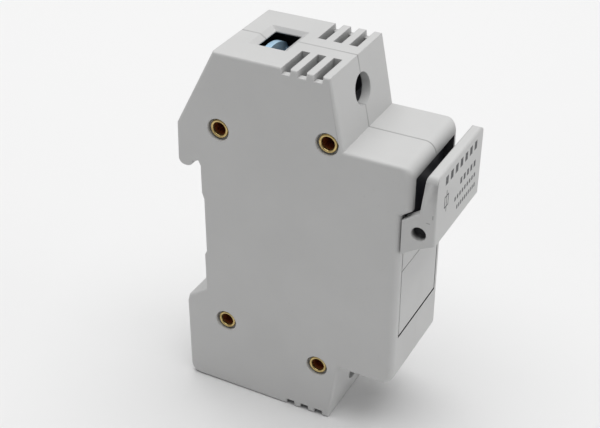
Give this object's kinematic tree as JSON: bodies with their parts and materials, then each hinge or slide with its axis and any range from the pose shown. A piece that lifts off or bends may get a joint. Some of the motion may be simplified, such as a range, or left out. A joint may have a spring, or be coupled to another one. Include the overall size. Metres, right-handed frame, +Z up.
{
  "type": "cartridge fuse holder",
  "caption": "Rail-mounted single-pole holder for a cylindrical cartridge fuse, with a swing-out carrier, screw terminals and a sliding rail clip.",
  "frame": {"origin": "centre of the bounding box, at the height of its bottom face", "axes": "+X across the width, -Y is the front with the pull handle, +Y faces the rail, +Z up towards the upper terminal"},
  "size_m": [0.0264, 0.0644, 0.0931],
  "materials": {
    "grey_plastic": "fine moulded matt",
    "dark_plastic": "moulded satin",
    "rivet_brass": "rolled, lightly tarnished",
    "contact_copper": "rolled copper",
    "spring_steel": "plain",
    "zinc_steel": "blue zinc plate",
    "ceramic": "glazed ceramic",
    "plated_cap": "nickel plate on brass",
    "silver_strip": "silver strip",
    "quartz_sand": "packed sand"
  },
  "bodies": {
    "housing": {"left_shell": "grey_plastic", "right_shell": "grey_plastic", "hollow_rivets": "rivet_brass", "upper_contact": "contact_copper", "lower_contact": "contact_copper", "upper_contact_spring": "spring_steel", "lower_contact_spring": "spring_steel", "rail_clip_spring": "spring_steel"},
    "carrier": {"carrier_front": "grey_plastic", "handle": "grey_plastic", "fuse_cradle": "dark_plastic", "pivot_pins": "spring_steel", "fuse_body": "ceramic", "fuse_cap_upper": "plated_cap", "fuse_cap_lower": "plated_cap", "fuse_element": "silver_strip", "fuse_sand": "quartz_sand"},
    "upper_screw": {"upper_terminal_screw": "zinc_steel"},
    "upper_cage": {"upper_terminal_cage": "zinc_steel"},
    "lower_screw": {"lower_terminal_screw": "zinc_steel"},
    "lower_cage": {"lower_terminal_cage": "zinc_steel"},
    "clip": {"rail_clip": "grey_plastic"}
  },
  "joints": [
    {"name": "carrier_swing", "type": "hinge", "parent": "housing", "child": "carrier", "pos_m": [0, -0.0225, 0.0309], "axis": [1, 0, 0], "range_deg": [0, 70]},
    {"name": "upper_screw_turn", "type": "hinge", "parent": "housing", "child": "upper_screw", "pos_m": [0, 0, 0.08533], "axis": [0, -1, 0], "range_deg": [0, 1575]},
    {"name": "upper_cage_slide", "type": "slide", "parent": "housing", "child": "upper_cage", "axis": [0, 1, 0], "range_m": [0, 0.0035]},
    {"name": "lower_screw_turn", "type": "hinge", "parent": "housing", "child": "lower_screw", "pos_m": [0, 0, 0.0078], "axis": [0, -1, 0], "range_deg": [0, 1575]},
    {"name": "lower_cage_slide", "type": "slide", "parent": "housing", "child": "lower_cage", "axis": [0, 1, 0], "range_m": [0, 0.0035]},
    {"name": "rail_clip_slide", "type": "slide", "parent": "housing", "child": "clip", "axis": [0, 0, -1], "range_m": [0, 0.003], "stiffness_N_per_m": 800, "springref_m": -0.0015, "deforming": ["rail_clip_spring"]}
  ],
  "couplings": [
    {"joint": "upper_screw_turn", "follows": "upper_cage_slide", "rad_per_m": 7853.9},
    {"joint": "lower_screw_turn", "follows": "lower_cage_slide", "rad_per_m": 7853.9}
  ]
}
